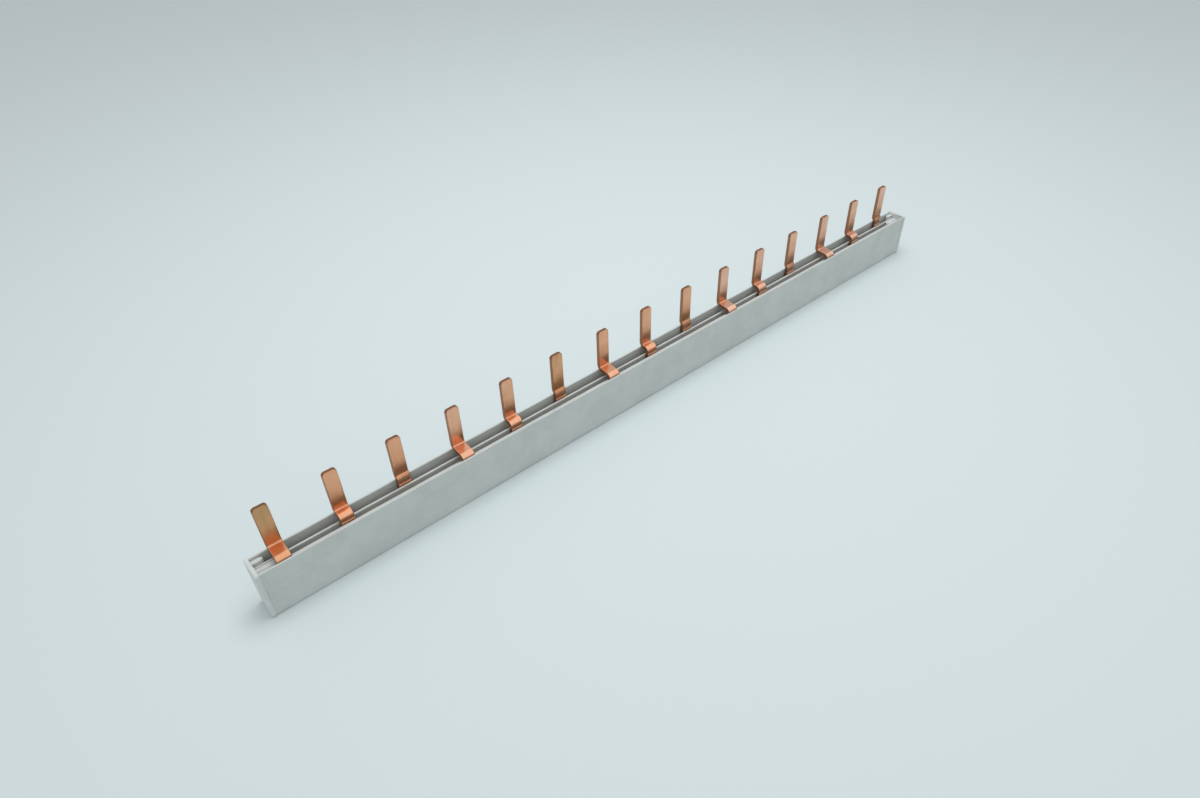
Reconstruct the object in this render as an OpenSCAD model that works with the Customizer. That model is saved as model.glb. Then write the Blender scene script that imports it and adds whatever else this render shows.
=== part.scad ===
// Three-phase comb busbar: a grooved housing, three copper combs and two end caps.
// X runs along the bar, -Y is the front, the pins point up, and Z = 0 is the foot.

/* [Pins] */
// Distance between neighbouring pins, one module of a breaker
pitch = 17.8; // [14:0.1:27]
// Pins on each of the three combs
pins_per_comb = 5; // [2:1:8]
// Width of a pin
pin_w = 3.9; // [2.5:0.1:7]
// Height of the pin tips above the foot
pin_top = 30; // [24:0.5:40]
// Radius of the two corners of a pin's tip
tip_r = 1; // [0.2:0.1:1.2]
// Bevel on the front and back of a pin's tip
tip_bevel = 0.25; // [0.05:0.05:0.4]

/* [Copper] */
// Thickness of the copper strip that each comb is stamped from
copper_t = 1.2; // [0.8:0.05:2]
// Height of the bar that joins the pins of a comb
bar_h = 11.3; // [6:0.1:12]
// Inside radius of each bend in a pin
bend_r = 0.6; // [0.3:0.1:0.8]
// How many degrees the steps slope down towards the front
step_slope = 5; // [0:1:10]
// How much higher the shallow bend of the back comb ends
joggle_lift = 0.1; // [0:0.1:1.5]
// Fillet where a pin leaves its bar
root_r = 0.8; // [0.3:0.1:1.2]

/* [Housing] */
// Height of the front and back walls
housing_h = 15.8; // [14.5:0.1:18]
// Thickness of the front and back walls
wall_t = 0.5; // [0.4:0.05:1]
// Thickness of the floor
floor_t = 1; // [0.8:0.1:1.5]
// Thickness of the two ribs between the grooves
rib_t = 0.65; // [0.5:0.05:1.2]
// Height from the tops of the ribs up to the rims
rib_drop = 1.7; // [0.5:0.1:3]
// Radius of the top edges of the walls and ribs
rim_r = 0.12; // [0.05:0.01:0.2]
// Radius of the two long bottom edges
foot_r = 0.4; // [0.1:0.1:0.45]
// Housing to the left of the first pin's middle
end_left = 6.8; // [6:0.1:15]
// Housing to the right of the last pin's middle
end_right = 9.8; // [6:0.1:15]

/* [End caps] */
// Thickness of a cap's end plate
plate_t = 1.1; // [0.8:0.1:2]
// How far the end plate stands out past the walls and rims
plate_lip = 0.3; // [0.1:0.05:0.6]
// Corner radius of the end plate
plate_r = 0.8; // [0.3:0.1:1.5]
// Length of the front and back plugs
outer_plug_l = 3; // [1.5:0.1:3.4]
// Length of the middle plug
middle_plug_l = 5.8; // [3:0.1:9]
// Height from the top of the back plug up to the rims, the other two end level with the ribs
plug_drop = 0.7; // [0.3:0.1:2]
// Taper at the end of a plug, on each side
plug_taper = 0.35; // [0.1:0.05:0.4]
// Length of that taper
taper_l = 0.8; // [0.2:0.1:1.2]

/* [Clearances] */
// Play on each side of a bar in its groove
bar_play = 0.175; // [0.1:0.025:0.3]
// Play on each side of a plug in its groove
plug_play = 0.1; // [0.05:0.025:0.2]
// Gap between the rims and the steps that cross them
step_play = 0.1; // [0.05:0.05:0.5]
// Gap between the end of a bar and its plug
bar_gap = 0.3; // [0.1:0.1:1]

/* [Hidden] */
$fn = 64;

phases = 3;
bend_sides = 10;
plastic_colour = [0.64, 0.67, 0.66];
cap_colour = [0.70, 0.73, 0.73];
copper_colour = [0.78, 0.47, 0.33];

// The section: three grooves with two ribs between them
groove_w = copper_t + 2 * bar_play;
groove_step = groove_w + rib_t;
housing_w = 2 * wall_t + phases * groove_w + (phases - 1) * rib_t;
front_y = -housing_w / 2;
back_y = housing_w / 2;
rib_top = housing_h - rib_drop;
bar_top = floor_t + bar_h;

// Places along the bar
pins_span = (phases * pins_per_comb - 1) * pitch;
housing_l = end_left + pins_span + end_right;
left_x = -housing_l / 2;
right_x = housing_l / 2;
first_pin_x = left_x + end_left;

// The pins end in one plane, flush with the back of the housing
mid_r = bend_r + copper_t / 2;
blade_y = back_y - copper_t;
step_z = housing_h + step_play;
blade_z = step_z + copper_t + bend_r;

function groove_y(k) = front_y + wall_t + k * groove_step;
function bar_y(k) = groove_y(k) + bar_play;
function set_back(k) = blade_y - bar_y(k);
function is_full_bend(k) = set_back(k) >= 2 * mid_r * (1 - sin(step_slope));
function bend_angle(k) =
    is_full_bend(k) ? 90 - step_slope : acos(1 - set_back(k) / (2 * mid_r));
function bends_set_back(k) = 2 * mid_r * (1 - cos(bend_angle(k)));
function straight_l(k) = (set_back(k) - bends_set_back(k)) / sin(bend_angle(k));
function bends_end_z(k) = is_full_bend(k) ? blade_z : blade_z + joggle_lift;
function bends_start_z(k) =
    bends_end_z(k) - 2 * mid_r * sin(bend_angle(k)) - straight_l(k) * cos(bend_angle(k));
function plug_l(k) = k == 1 ? middle_plug_l : outer_plug_l;
function plug_top(k) = k == phases - 1 ? housing_h - plug_drop : rib_top;
function bar_start_x(k) = left_x + plug_l(k) + bar_gap;
function bar_end_x(k) = right_x - plug_l(k) - bar_gap;
function pin_x(k, i) = first_pin_x + (k + i * phases) * pitch;

// Points along an arc, both ends included
function arc(centre, radius, from, to) =
    [for (i = [0 : bend_sides]) let (a = from + (to - from) * i / bend_sides)
        centre + radius * [cos(a), sin(a)]];

// A drawing in Y and Z, drawn out along X
module along_x(length) {
    rotate([90, 0, 90])
        linear_extrude(height = length)
            children();
}

// A drawing in X and Z, drawn out towards +Y
module along_y(depth) {
    translate([0, depth, 0])
        rotate([90, 0, 0])
            linear_extrude(height = depth)
                children();
}

// A rectangle that stands on its middle, with its two upper corners rounded
module round_topped(width, height, radius) {
    translate([-width / 2, 0])
        square([width, height - radius]);
    translate([-width / 2 + radius, 0])
        square([width - 2 * radius, height]);
    for (side = [-1, 1])
        translate([side * (width / 2 - radius), height - radius])
            circle(r = radius);
}

// The same with all four corners rounded
module round_cornered(width, height, radius) {
    difference() {
        round_topped(width, height, radius);
        for (side = [-1, 1])
            translate([side * (width / 2 - radius), radius])
                outside_corner(side, radius);
    }
}

// What rounding takes off a lower corner, seen from the middle of its arc
module outside_corner(side, radius) {
    difference() {
        translate([side > 0 ? 0 : -2 * radius, -2 * radius])
            square(2 * radius);
        circle(r = radius);
    }
}

// An upright wall of the section with its top edges rounded
module upright(y, thickness, height) {
    translate([y + thickness / 2, 0])
        round_topped(thickness, height, rim_r);
}

module housing_section() {
    difference() {
        union() {
            translate([front_y, 0])
                square([housing_w, floor_t]);
            translate([0, foot_r])
                upright(front_y, wall_t, housing_h - foot_r);
            translate([0, foot_r])
                upright(back_y - wall_t, wall_t, housing_h - foot_r);
            for (k = [1 : phases - 1])
                translate([0, floor_t / 2])
                    upright(groove_y(k) - rib_t, rib_t, rib_top - floor_t / 2);
        }
        // round the long bottom edges
        for (side = [-1, 1])
            translate([side * (housing_w / 2 - foot_r), foot_r])
                outside_corner(side, foot_r);
    }
}

module housing() {
    color(plastic_colour)
        translate([left_x, 0, 0])
            along_x(housing_l)
                housing_section();
}

// Side view of a pin: up from its bar, back over the housing, and up again
module pin_side(k) {
    angle = bend_angle(k);
    outer_r = bend_r + copper_t;
    low = [bar_y(k) + outer_r, bends_start_z(k)];
    high = [blade_y - bend_r, bends_end_z(k)];
    // the foot of the pin runs down into the bar
    foot_z = bar_top - root_r;
    polygon(concat(
        [[bar_y(k), foot_z]],
        arc(low, outer_r, 180, 180 - angle),
        arc(high, bend_r, -angle, 0),
        [[blade_y, pin_top - tip_bevel], [blade_y + tip_bevel, pin_top],
         [back_y - tip_bevel, pin_top], [back_y, pin_top - tip_bevel]],
        arc(high, outer_r, 0, -angle),
        arc(low, bend_r, 180 - angle, 180),
        [[bar_y(k) + copper_t, foot_z]]));
}

module pin(k) {
    intersection() {
        translate([-pin_w / 2, 0, 0])
            along_x(pin_w)
                pin_side(k);
        translate([0, bar_y(k), 0])
            along_y(back_y - bar_y(k))
                round_topped(pin_w, pin_top, tip_r);
    }
}

// Fillet in the corner between a pin and the top edge of its bar
module root_fillet(side) {
    difference() {
        translate([side > 0 ? 0 : -root_r, 0])
            square(root_r);
        translate([side * root_r, root_r])
            circle(r = root_r);
    }
}

// Front view of a comb's flat part: the bar and the roots of its pins
module comb_blank(k) {
    translate([bar_start_x(k), floor_t])
        square([bar_end_x(k) - bar_start_x(k), bar_h]);
    for (i = [0 : pins_per_comb - 1])
        for (side = [-1, 1])
            translate([pin_x(k, i) + side * pin_w / 2, bar_top])
                root_fillet(side);
}

module phase_comb(k) {
    color(copper_colour) {
        translate([0, bar_y(k), 0])
            along_y(copper_t)
                comb_blank(k);
        for (i = [0 : pins_per_comb - 1])
            translate([pin_x(k, i), 0, 0])
                pin(k);
    }
}

module phase_comb_front() {
    phase_comb(0);
}

module phase_comb_middle() {
    phase_comb(1);
}

module phase_comb_back() {
    phase_comb(2);
}

// A plug fills the end of its groove from the floor up and has a tapered end
module plug(k) {
    thickness = groove_w - 2 * plug_play;
    length = plug_l(k);
    foot_z = floor_t + plug_play;
    translate([0, groove_y(k) + plug_play, foot_z])
        linear_extrude(height = plug_top(k) - foot_z)
            polygon([[0, 0], [length - taper_l, 0], [length, plug_taper],
                     [length, thickness - plug_taper], [length - taper_l, thickness],
                     [0, thickness]]);
}

module end_plate() {
    translate([-plate_t, 0, 0])
        along_x(plate_t)
            round_cornered(housing_w + 2 * plate_lip, housing_h + plate_lip, plate_r);
}

// The left end cap, its plugs towards +X
module end_cap() {
    end_plate();
    for (k = [0 : phases - 1])
        plug(k);
}

module end_cap_left() {
    color(cap_colour)
        translate([left_x, 0, 0])
            end_cap();
}

// The right end cap is the mirror image of the left one
module end_cap_right() {
    color(cap_colour)
        translate([right_x, 0, 0])
            mirror([1, 0, 0])
                end_cap();
}

housing();
phase_comb_front();
phase_comb_middle();
phase_comb_back();
end_cap_left();
end_cap_right();
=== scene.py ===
import math

import bmesh
import bpy
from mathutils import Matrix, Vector


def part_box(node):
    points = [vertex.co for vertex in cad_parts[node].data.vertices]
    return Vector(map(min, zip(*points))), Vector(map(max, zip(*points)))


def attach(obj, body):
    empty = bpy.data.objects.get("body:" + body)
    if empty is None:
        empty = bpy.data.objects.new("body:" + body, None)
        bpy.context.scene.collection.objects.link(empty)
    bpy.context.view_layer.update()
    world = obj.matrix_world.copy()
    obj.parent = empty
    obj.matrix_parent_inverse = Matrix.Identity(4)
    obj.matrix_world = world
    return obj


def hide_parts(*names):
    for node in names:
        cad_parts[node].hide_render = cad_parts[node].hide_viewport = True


# Looks of a three-phase comb busbar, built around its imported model.
# Everything is in metres. X runs along the bar, -Y is the front, Z is up.

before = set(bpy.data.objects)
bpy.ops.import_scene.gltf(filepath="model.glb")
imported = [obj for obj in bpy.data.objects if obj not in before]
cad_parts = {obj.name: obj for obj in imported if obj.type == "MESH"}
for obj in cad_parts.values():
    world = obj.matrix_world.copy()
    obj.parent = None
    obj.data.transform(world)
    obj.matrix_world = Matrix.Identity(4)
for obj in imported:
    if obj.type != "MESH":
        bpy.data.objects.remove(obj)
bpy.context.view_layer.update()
housingLow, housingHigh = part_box("housing")
print("frame loaded")


cameraSetup = {
    "place": (-0.1461, -0.1501, 0.1688),
    "aim": (-0.0180, 0.0066, 0.0),
    "roll": -1.87,    # degrees
    "lens": 24.15,    # mm
    "sensor": 36.0,   # mm
    "sees": (0.005, 50.0),    # nearest and farthest
}


def makeCamera(setup):
    data = bpy.data.cameras.new("camera")
    data.lens = setup["lens"]
    data.sensor_width = setup["sensor"]
    data.clip_start, data.clip_end = setup["sees"]
    camera = bpy.data.objects.new("camera", data)
    bpy.context.scene.collection.objects.link(camera)
    place = Vector(setup["place"])
    look = (Vector(setup["aim"]) - place).to_track_quat("-Z", "Y")
    camera.location = place
    camera.rotation_euler = look.to_euler()
    camera.rotation_euler.rotate_axis("Z", math.radians(setup["roll"]))
    bpy.context.scene.camera = camera


makeCamera(cameraSetup)
bpy.context.scene.view_settings.view_transform = "Standard"
print("camera placed")


class Value:
    # a socket that sums can be written with
    def __init__(self, graph, socket):
        self.graph = graph
        self.socket = socket

    def work(self, operation, first, second):
        return self.graph.add("ShaderNodeMath", {"operation": operation}, {0: first, 1: second})

    def __add__(self, other):
        return self.work("ADD", self, other)

    def __radd__(self, other):
        return self.work("ADD", other, self)

    def __sub__(self, other):
        return self.work("SUBTRACT", self, other)

    def __rsub__(self, other):
        return self.work("SUBTRACT", other, self)

    def __mul__(self, other):
        return self.work("MULTIPLY", self, other)

    def __rmul__(self, other):
        return self.work("MULTIPLY", other, self)


class Graph:
    def __init__(self, owner):
        owner.use_nodes = True
        self.tree = owner.node_tree
        self.tree.nodes.clear()

    def add(self, kind, settings=None, inputs=None, output=0):
        made = self.tree.nodes.new(kind)
        for name, value in (settings or {}).items():
            setattr(made, name, value)
        for name, value in (inputs or {}).items():
            if isinstance(value, Value):
                self.tree.links.new(value.socket, made.inputs[name])
            else:
                made.inputs[name].default_value = value
        return Value(self, made.outputs[output])

    def blend(self, amount, first, second):
        first = first if isinstance(first, Value) else (*first, 1.0)
        second = second if isinstance(second, Value) else (*second, 1.0)
        return self.add("ShaderNodeMix", {"data_type": "RGBA"},
                        {0: amount, 6: first, 7: second}, output=2)

    def stretch(self, vector, factors):
        return self.add("ShaderNodeVectorMath", {"operation": "MULTIPLY"}, {0: vector, 1: factors})

    def noise(self, vector, scale, detail=2.0, roughness=0.5):
        return self.add("ShaderNodeTexNoise", {},
                        {"Vector": vector, "Scale": scale, "Detail": detail, "Roughness": roughness})

    def ease(self, value, low, high, start=0.0, end=1.0):
        return self.add("ShaderNodeMapRange", {"interpolation_type": "SMOOTHSTEP"},
                        {0: value, 1: low, 2: high, 3: start, 4: end})

    def facing(self, direction, source):
        # how nearly a direction points at a source, up to 1
        return self.add("ShaderNodeVectorMath", {"operation": "DOT_PRODUCT"},
                        {0: direction, 1: Vector(source).normalized()}, output="Value")

    def attribute(self, name, output="Fac"):
        return self.add("ShaderNodeAttribute", {"attribute_name": name}, output=output)

    def bump(self, strength, distance, height):
        return self.add("ShaderNodeBump", {},
                        {"Strength": strength, "Distance": distance, "Height": height})

    def output(self, kind, surface):
        made = self.tree.nodes.new(kind)
        self.tree.links.new(surface.socket, made.inputs["Surface"])


plasticSetup = {
    "housingColour": (0.575, 0.615, 0.60),
    "capColour": (0.64, 0.68, 0.67),
    "mottle": 0.045,       # share of light and dark in the colour
    "toneShares": (0.7, 0.2, 0.1),    # of clouds, lines and specks in the colour
    "toneRange": (0.38, 0.62),
    "cloudScale": 150.0,
    "speckScale": 1500.0,
    "housingLines": (4.0, 2600.0, 2600.0),    # noise scale along each axis, long along the bar
    "capLines": (300.0, 300.0, 300.0),
    "lineHeight": 0.5,     # of the lines in the bump, beside the specks
    "speckHeight": 0.5,
    "bumpStrength": 0.25,
    "bumpDepth": 0.00002,
    "speckRange": (0.3, 0.7),
    "roughness": (0.42, 0.54),        # at the two ends of that range
    "specular": 0.4,
}


def makePlastic(name, colour, lineScale, setup):
    material = bpy.data.materials.new(name)
    graph = Graph(material)
    place = graph.add("ShaderNodeTexCoord", output="Object")
    cloud = graph.noise(place, setup["cloudScale"], detail=4.0, roughness=0.6)
    speck = graph.noise(place, setup["speckScale"])
    lines = graph.noise(graph.stretch(place, lineScale), 1.0, detail=3.0)
    light = [c * (1 + setup["mottle"]) for c in colour]
    dark = [c * (1 - setup["mottle"]) for c in colour]
    cloudShare, lineShare, speckShare = setup["toneShares"]
    mixed = cloud * cloudShare + lines * lineShare + speck * speckShare
    tone = graph.ease(mixed, *setup["toneRange"])
    shade = graph.blend(tone, dark, light)
    height = speck * setup["speckHeight"] + lines * setup["lineHeight"]
    bump = graph.bump(setup["bumpStrength"], setup["bumpDepth"], height)
    surface = graph.add("ShaderNodeBsdfPrincipled", {}, {
        "Base Color": shade,
        "Roughness": graph.ease(speck, *setup["speckRange"], *setup["roughness"]),
        "Specular IOR Level": setup["specular"],
        "Normal": bump,
    })
    graph.output("ShaderNodeOutputMaterial", surface)
    return material


copperSetup = {
    "clean": (0.91, 0.455, 0.265),
    "olive": (0.56, 0.36, 0.17),      # old tarnish
    "wearAndShadeRed": (0.56, 0.23, 0.115),       # redder, darker copper for the wear and streaks, and the painted shade on the lower part of each pin
    "edge": (0.30, 0.145, 0.08),      # sheared edges
    "pale": (0.92, 0.585, 0.46),      # rubbed pins, more pink than orange
    "streaks": (5200.0, 5200.0, 150.0),    # noise scales on the flat blank, all long along the pins
    "broadStreaks": (800.0, 800.0, 50.0),
    "patches": (170.0, 170.0, 260.0),
    "patchShare": 0.65,               # of the patches in the wear, the rest is broad streaks
    "wearRange": (0.36, 0.66),
    "streakRange": (0.40, 0.75),
    "olivePart": (0.6, 0.5),          # of the tarnish, where little worn and what wear adds
    "paintedShadePart": (0.55, 0.4),           # of the painted shade at the foot of a pin, the same way
    "wearPart": 0.22,                 # how much red the wear brings
    "streakPart": 0.20,
    "cutPart": 0.85,
    "bumpStrength": 0.30,
    "bumpDepth": 0.00001,
    "broadHeight": 0.8,               # of the broad streaks in the bump, beside the fine ones
    "roughness": 0.20,
    "roughStreaks": 0.12,             # what each adds to the roughness
    "roughTarnish": 0.10,
    "roughLow": 0.05,
    "roughCut": 0.20,
}


def makeCopper(setup):
    # blank is the place on the flat strip: X along the bar, Y through it, Z along the pins
    material = bpy.data.materials.new("bareCopper")
    graph = Graph(material)
    blank = graph.attribute("blank", "Vector")
    cut = graph.attribute("cut")
    tarnish = graph.attribute("tarnish")
    rubbed = graph.attribute("rubbed")
    low = graph.attribute("low")
    streaks = graph.noise(graph.stretch(blank, setup["streaks"]), 1.0, detail=3.0, roughness=0.6)
    broad = graph.noise(graph.stretch(blank, setup["broadStreaks"]), 1.0)
    patches = graph.noise(graph.stretch(blank, setup["patches"]), 1.0, detail=3.0)
    share = setup["patchShare"]
    wear = graph.ease(patches * share + broad * (1 - share), *setup["wearRange"])
    oliveLeast, oliveMore = setup["olivePart"]
    shadeLeast, shadeMore = setup["paintedShadePart"]
    tone = graph.blend(rubbed, setup["clean"], setup["pale"])
    tone = graph.blend(tarnish * (wear * oliveMore + oliveLeast), tone, setup["olive"])
    tone = graph.blend(wear * setup["wearPart"], tone, setup["wearAndShadeRed"])
    # painted shade: the foot of each blade is darkened towards red, more where worn
    tone = graph.blend(low * (wear * shadeMore + shadeLeast), tone, setup["wearAndShadeRed"])
    fine = graph.ease(streaks, *setup["streakRange"])
    tone = graph.blend(fine * setup["streakPart"], tone, setup["wearAndShadeRed"])
    tone = graph.blend(cut * setup["cutPart"], tone, setup["edge"])
    rough = setup["roughness"] + (streaks - 0.5) * setup["roughStreaks"]
    rough += tarnish * setup["roughTarnish"] + low * setup["roughLow"] + cut * setup["roughCut"]
    bump = graph.bump(setup["bumpStrength"], setup["bumpDepth"], streaks + broad * setup["broadHeight"])
    surface = graph.add("ShaderNodeBsdfPrincipled", {}, {
        "Base Color": tone,
        "Metallic": 1.0,
        "Roughness": rough,
        "Normal": bump,
    })
    graph.output("ShaderNodeOutputMaterial", surface)
    return material


housingPlastic = makePlastic("housingPlastic", plasticSetup["housingColour"],
                             plasticSetup["housingLines"], plasticSetup)
capPlastic = makePlastic("capPlastic", plasticSetup["capColour"], plasticSetup["capLines"],
                         plasticSetup)
bareCopper = makeCopper(copperSetup)
print("finishes made")


def arcPoints(centre, radius, start, end, steps):
    # points of an arc, both ends included, angles in degrees
    found = []
    for i in range(steps + 1):
        angle = math.radians(start + (end - start) * i / steps)
        found.append((centre[0] + radius * math.cos(angle), centre[1] + radius * math.sin(angle)))
    return found


def insetDirections(outline):
    # for each point, the step inwards that moves both of its sides by one
    count = len(outline)
    found = []
    for i in range(count):
        before = Vector(outline[i]) - Vector(outline[i - 1])
        after = Vector(outline[(i + 1) % count]) - Vector(outline[i])
        first = Vector((-before.y, before.x)).normalized()
        second = Vector((-after.y, after.x)).normalized()
        middle = (first + second).normalized()
        found.append(middle / max(middle.dot(first), 0.5))
    return found


def rolledPlate(mesh, outline, thickness, backRadii, frontRadii, steps, place):
    # a plate with rounded edges of a radius for each point of its outline,
    # place turns (across, depth, up) into a point of the piece
    cutLayer = mesh.verts.layers.float["cut"]
    inwards = insetDirections(outline)
    rings = []
    for side, radii in ((1, backRadii), (-1, frontRadii)):
        turns = range(steps + 1) if side > 0 else range(steps, -1, -1)
        for k in turns:
            angle = math.pi / 2 * k / steps
            ring = []
            for point, inward, radius in zip(outline, inwards, radii):
                spot = Vector(point) + inward * radius * (1 - math.sin(angle))
                depth = thickness / 2 - radius * (1 - math.cos(angle))
                vertex = mesh.verts.new(place(spot.x, side * depth, spot.y))
                vertex[cutLayer] = math.sin(angle) ** 2
                ring.append(vertex)
            rings.append(ring)
    count = len(outline)
    faces = [mesh.faces.new(list(reversed(rings[0]))), mesh.faces.new(rings[-1])]
    for below, above in zip(rings, rings[1:]):
        for i in range(count):
            j = (i + 1) % count
            faces.append(mesh.faces.new((below[i], below[j], above[j], above[i])))
    bmesh.ops.recalc_face_normals(mesh, faces=faces)


def newMesh():
    mesh = bmesh.new()
    mesh.verts.layers.float.new("cut")
    return mesh


def makePiece(name, mesh, material, slotName, *nodes):
    data = bpy.data.meshes.new(name)
    mesh.to_mesh(data)
    mesh.free()
    data.materials.append(material)
    for face in data.polygons:
        face.use_smooth = True
    piece = bpy.data.objects.new(name, data)
    bpy.context.scene.collection.objects.link(piece)
    shading = piece.modifiers.new("shading", "WEIGHTED_NORMAL")
    shading.weight = 80
    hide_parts(*nodes)
    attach(piece, "root")


combSetup = {
    "pitch": 0.0178,
    "phases": 3,
    "pins": 5,
    "endLeft": 0.0068,       # from the housing's left end to the first pin's middle
    "pinWidth": 0.0039,
    "thickness": 0.0012,
    "barHeight": 0.0113,
    "bendRadius": 0.0006,    # inside
    "stepSlope": 5.0,        # degrees down towards the front
    "joggleLift": 0.0001,
    "stepPlay": 0.0001,      # between the rims and the steps
    "rootRadius": 0.0008,
    "tipRadius": 0.0010,
    "tipBevel": 0.00025,
    "frontEdge": 0.00022,    # rolled over by the punch
    "backEdge": 0.00008,
    "bendSteps": 12,
    "edgeSteps": 4,
    "rootSteps": 6,
    "tipSteps": 8,
    "stepTarnish": 0.25,     # share of a pin's tarnish that its step has
    "paintedShadeHeight": 0.0085,     # how far up a blade the painted shade reaches
    "paintedShadeBelow": 0.15,        # share of that height by which it starts below the blade
    "paintedShadeSteps": 6,
    # each pin's tarnish and rubbing, from the first pin on, between 0 and 1
    "tarnish": (0.95, 0.15, 0.15, 0.10, 0.20, 0.65, 0.12, 0.12, 0.15, 0.05,
                0.10, 0.15, 0.10, 0.15, 0.15),
    "rubbed": (0.0, 0.05, 0.10, 0.40, 0.25, 0.0, 0.20, 0.20, 0.25, 0.85,
               0.55, 0.60, 0.90, 0.70, 0.80),
}


def combOutline(low, high, firstPin, length, setup):
    # the blank's outline in X and Z before it is folded, with each point's share of tip
    barTop = low.z + setup["barHeight"]
    half = setup["pinWidth"] / 2
    root, rootSteps = setup["rootRadius"], setup["rootSteps"]
    tip, tipSteps = setup["tipRadius"], setup["tipSteps"]
    outline = [(low.x, low.z), (high.x, low.z), (high.x, barTop)]
    atTip = [0.0] * len(outline)
    for i in reversed(range(setup["pins"])):
        x = firstPin + i * setup["phases"] * setup["pitch"]
        stretches = (
            (arcPoints((x + half + root, barTop + root), root, 270, 180, rootSteps), 0.0, 0.0),
            (arcPoints((x + half - tip, length - tip), tip, 0, 90, tipSteps), 0.0, 1.0),
            (arcPoints((x - half + tip, length - tip), tip, 90, 180, tipSteps), 1.0, 0.0),
            (arcPoints((x - half - root, barTop + root), root, 0, -90, rootSteps), 0.0, 0.0),
        )
        for points, start, end in stretches:
            outline += points
            last = len(points) - 1
            atTip += [start + (end - start) * j / last for j in range(last + 1)]
    outline.append((low.x, barTop))
    atTip.append(0.0)
    return outline, atTip


def foldPath(low, high, setup):
    # where the strip's middle line runs in Y and Z
    thickness = setup["thickness"]
    middle = setup["bendRadius"] + thickness / 2
    setBack = high.y - thickness - low.y
    slope = math.radians(setup["stepSlope"])
    full = setBack >= 2 * middle * (1 - math.sin(slope))
    angle = math.pi / 2 - slope if full else math.acos(1 - setBack / (2 * middle))
    run = (setBack - 2 * middle * (1 - math.cos(angle))) / math.sin(angle)
    bendsEnd = housingHigh.z + setup["stepPlay"] + thickness + setup["bendRadius"]
    if not full:
        bendsEnd += setup["joggleLift"]
    rise = 2 * middle * math.sin(angle) + run * math.cos(angle)
    return {
        "middle": middle, "angle": angle, "run": run,
        "bendsStart": bendsEnd - rise, "bendsEnd": bendsEnd,
        "lowY": low.y + thickness / 2 + middle, "highY": high.y - thickness / 2 - middle,
        "barY": low.y + thickness / 2, "bladeY": high.y - thickness / 2,
    }


def folded(path, along, out):
    # the place in Y and Z of a point this far along the strip and this far out of its middle
    angle = path["angle"]
    first = path["bendsStart"]
    second = first + path["middle"] * angle
    third = second + path["run"]
    fourth = third + path["middle"] * angle
    if along <= first:
        return path["barY"] - out, along
    if along <= second:
        turn = math.pi - (along - first) / path["middle"]
        reach = path["middle"] + out
        return path["lowY"] + reach * math.cos(turn), first + reach * math.sin(turn)
    if along <= third:
        gone = along - second
        reach = path["middle"] + out
        return (path["lowY"] - reach * math.cos(angle) + gone * math.sin(angle),
                first + reach * math.sin(angle) + gone * math.cos(angle))
    if along <= fourth:
        turn = -angle + (along - third) / path["middle"]
        reach = path["middle"] - out
        return path["highY"] + reach * math.cos(turn), path["bendsEnd"] + reach * math.sin(turn)
    return path["bladeY"] - out, path["bendsEnd"] + (along - fourth)


def makeComb(node, order, setup):
    low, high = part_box(node)
    path = foldPath(low, high, setup)
    turn = path["middle"] * path["angle"]
    bladeStart = path["bendsStart"] + 2 * turn + path["run"]
    length = bladeStart + high.z - path["bendsEnd"]
    firstPin = housingLow.x + setup["endLeft"] + order * setup["pitch"]
    outline, atTip = combOutline(low, high, firstPin, length, setup)
    backRadii = [setup["backEdge"] + (setup["tipBevel"] - setup["backEdge"]) * t for t in atTip]
    frontRadii = [setup["frontEdge"] + (setup["tipBevel"] - setup["frontEdge"]) * t for t in atTip]
    mesh = newMesh()
    rolledPlate(mesh, outline, setup["thickness"], backRadii, frontRadii, setup["edgeSteps"],
                lambda across, depth, up: (across, depth, up))
    # rows of edges where the strip bends and where the painted shade at the foot of each blade fades
    rows = [low.z + setup["barHeight"] + setup["rootRadius"] * 1.5]
    for start in (path["bendsStart"], bladeStart - turn):
        rows += [start + turn * i / setup["bendSteps"] for i in range(setup["bendSteps"] + 1)]
    paintedShadeSteps = setup["paintedShadeSteps"]
    rows += [bladeStart + setup["paintedShadeHeight"] * i / paintedShadeSteps for i in range(1, paintedShadeSteps + 1)]
    for row in rows:
        everything = mesh.verts[:] + mesh.edges[:] + mesh.faces[:]
        bmesh.ops.bisect_plane(mesh, geom=everything, dist=1e-7,
                               plane_co=(0, 0, row), plane_no=(0, 0, 1))
    layers = mesh.verts.layers
    blankLayer = layers.float_vector.new("blank")
    tarnishLayer = layers.float.new("tarnish")
    rubbedLayer = layers.float.new("rubbed")
    paintedShadeLayer = layers.float.new("low")
    for vertex in mesh.verts:
        across, depth, along = vertex.co
        pin = round((across - firstPin) / setup["pitch"] / setup["phases"])
        pin = order + setup["phases"] * min(max(pin, 0), setup["pins"] - 1)
        vertex[blankLayer] = vertex.co.copy()
        share = 1.0 if along > bladeStart else setup["stepTarnish"]
        vertex[tarnishLayer] = setup["tarnish"][pin] * share
        vertex[rubbedLayer] = setup["rubbed"][pin]
        # painted shade mask: full at the foot of the blade, fading out up the blade
        above = (along - bladeStart) / setup["paintedShadeHeight"]
        vertex[paintedShadeLayer] = 0.0 if above < -setup["paintedShadeBelow"] else min(max(1 - above, 0.0), 1.0)
        y, z = folded(path, along, -depth)
        vertex.co = (across, y, z)
    makePiece(node.replace("phase_", ""), mesh, bareCopper, "copper", node)


for order, node in enumerate(("phase_comb_front", "phase_comb_middle", "phase_comb_back")):
    makeComb(node, order, combSetup)
print("copper combs folded")


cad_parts["housing"].data.materials.clear()
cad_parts["housing"].data.materials.append(housingPlastic)
print("housing dressed")


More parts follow.
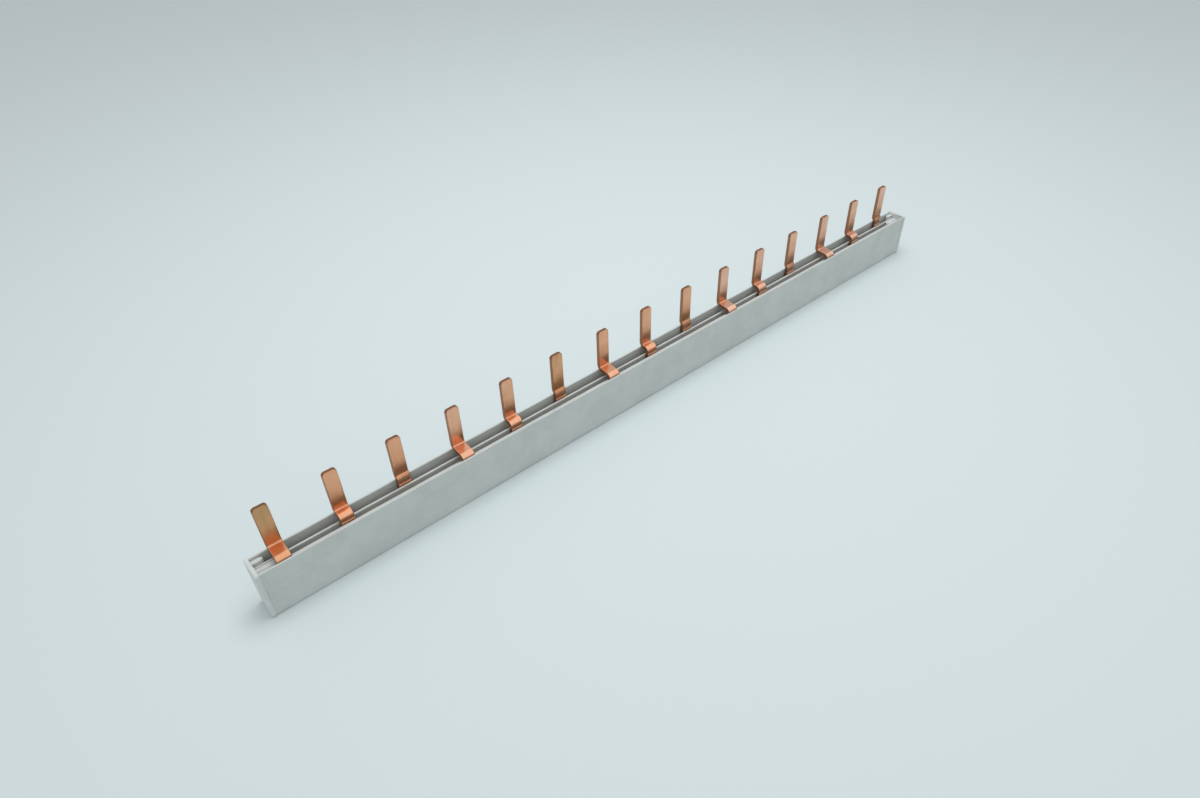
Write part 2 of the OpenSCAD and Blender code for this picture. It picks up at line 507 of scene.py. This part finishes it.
capSetup = {
    "plate": 0.0011,
    "cornerRadius": 0.0008,
    "cornerSteps": 8,
    "outerEdge": 0.00035,     # soft moulded edges of the plate
    "innerEdge": 0.00012,
    "wall": 0.0005,           # of the housing
    "floor": 0.0010,
    "rib": 0.00065,
    "groove": 0.00155,
    "ribDrop": 0.0017,        # from the rims down to the ribs
    "plugDrop": 0.0007,
    "plugPlay": 0.0001,
    "outerPlug": 0.0030,
    "middlePlug": 0.0058,
    "taper": 0.00035,
    "taperLength": 0.0008,
    "plugEdge": 0.00015,
    "edgeSteps": 4,
}


def plateOutline(low, high, setup):
    radius = setup["cornerRadius"]
    corners = ((high.y - radius, low.z + radius, -90), (high.y - radius, high.z - radius, 0),
               (low.y + radius, high.z - radius, 90), (low.y + radius, low.z + radius, 180))
    outline = []
    for y, z, start in corners:
        outline += arcPoints((y, z), radius, start, start + 90, setup["cornerSteps"])
    return outline


def makeCap(node, inwards, setup):
    # inwards is +1 for the cap whose plugs point along +X
    low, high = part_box(node)
    end = housingLow.x if inwards > 0 else housingHigh.x
    mesh = newMesh()
    outline = plateOutline(low, high, setup)
    middle = end - inwards * setup["plate"] / 2
    rolledPlate(mesh, outline, setup["plate"], [setup["outerEdge"]] * len(outline),
                [setup["innerEdge"]] * len(outline), setup["edgeSteps"],
                lambda across, depth, up: (middle - inwards * depth, across, up))
    play = setup["plugPlay"]
    foot = setup["floor"] + play
    wide = setup["groove"] - 2 * play
    for k in range(combSetup["phases"]):
        length = setup["middlePlug"] if k == 1 else setup["outerPlug"]
        drop = setup["plugDrop"] if k == 2 else setup["ribDrop"]
        top = housingHigh.z - drop
        start = housingLow.y + setup["wall"] + play + k * (setup["groove"] + setup["rib"])
        centre = (top + foot) / 2
        taper, bevel = setup["taperLength"], setup["taper"]
        plug = [(0, 0), (length - taper, 0), (length, bevel), (length, wide - bevel),
                (length - taper, wide), (0, wide)]
        rolledPlate(mesh, plug, top - foot, [setup["plugEdge"]] * len(plug),
                    [setup["plugEdge"]] * len(plug), setup["edgeSteps"],
                    lambda across, depth, up: (end + inwards * across, start + up, centre + depth))
    makePiece(node, mesh, capPlastic, "cap_plastic", node)


makeCap("end_cap_left", 1, capSetup)
makeCap("end_cap_right", -1, capSetup)
print("end caps moulded")


studioSetup = {
    "floorColour": (0.655, 0.74, 0.752),
    "floorSize": 8.0,
    "floorDrop": 0.00002,                 # keeps the floor clear of the foot
    "skyDim": 0.55,                       # light from low on the right
    "skyBright": 0.69,                    # light from above and from the left
    "lightFrom": (-0.35, 0.25, 0.90),     # where the sky is brightest
    "lightRange": (0.0, 0.85),            # from dim to bright, 1 is straight at that place
    "shownDim": 0.34,                     # the sky that shiny pieces mirror, the same way
    "shownBright": 1.05,
    "shownFrom": (0.0, -0.35, 0.94),
    "shownRange": (0.25, 0.75),
    "lampPlace": (0.03, 0.02, 0.46),
    "lampSize": 0.30,
    "lampPower": 0.95,
}


def makeFloor(setup):
    mesh = bmesh.new()
    bmesh.ops.create_grid(mesh, x_segments=1, y_segments=1, size=setup["floorSize"] / 2)
    data = bpy.data.meshes.new("floor")
    mesh.to_mesh(data)
    mesh.free()
    floor = bpy.data.objects.new("floor", data)
    floor.location.z = -setup["floorDrop"]
    bpy.context.scene.collection.objects.link(floor)
    material = bpy.data.materials.new("paleFloor")
    graph = Graph(material)
    surface = graph.add("ShaderNodeBsdfPrincipled", {}, {
        "Base Color": (*setup["floorColour"], 1.0), "Roughness": 0.8, "Specular IOR Level": 0.1})
    graph.output("ShaderNodeOutputMaterial", surface)
    data.materials.append(material)


def makeLamp(setup):
    light = bpy.data.lights.new("softbox", "AREA")
    light.shape = "DISK"
    light.size = setup["lampSize"]
    light.energy = setup["lampPower"]
    lamp = bpy.data.objects.new("softbox", light)
    lamp.location = setup["lampPlace"]
    lamp.visible_camera = False
    lamp.visible_glossy = False
    bpy.context.scene.collection.objects.link(lamp)


def makeWorld(setup):
    world = bpy.data.worlds.new("studio")
    bpy.context.scene.world = world
    graph = Graph(world)
    direction = graph.add("ShaderNodeTexCoord", output="Generated")
    glow = graph.ease(graph.facing(direction, setup["lightFrom"]), *setup["lightRange"])
    glowShown = graph.ease(graph.facing(direction, setup["shownFrom"]), *setup["shownRange"])
    light = graph.blend(glow, [setup["skyDim"]] * 3, [setup["skyBright"]] * 3)
    shown = graph.blend(glowShown, [setup["shownDim"]] * 3, [setup["shownBright"]] * 3)
    seen = graph.add("ShaderNodeLightPath", output="Is Camera Ray")
    mirrored = graph.add("ShaderNodeLightPath", output="Is Glossy Ray")
    colour = graph.blend(mirrored, light, shown)
    colour = graph.blend(seen, colour, setup["floorColour"])
    background = graph.add("ShaderNodeBackground", {}, {"Color": colour, "Strength": 1.0})
    graph.output("ShaderNodeOutputWorld", background)


makeFloor(studioSetup)
makeLamp(studioSetup)
makeWorld(studioSetup)
print("floor and light made")
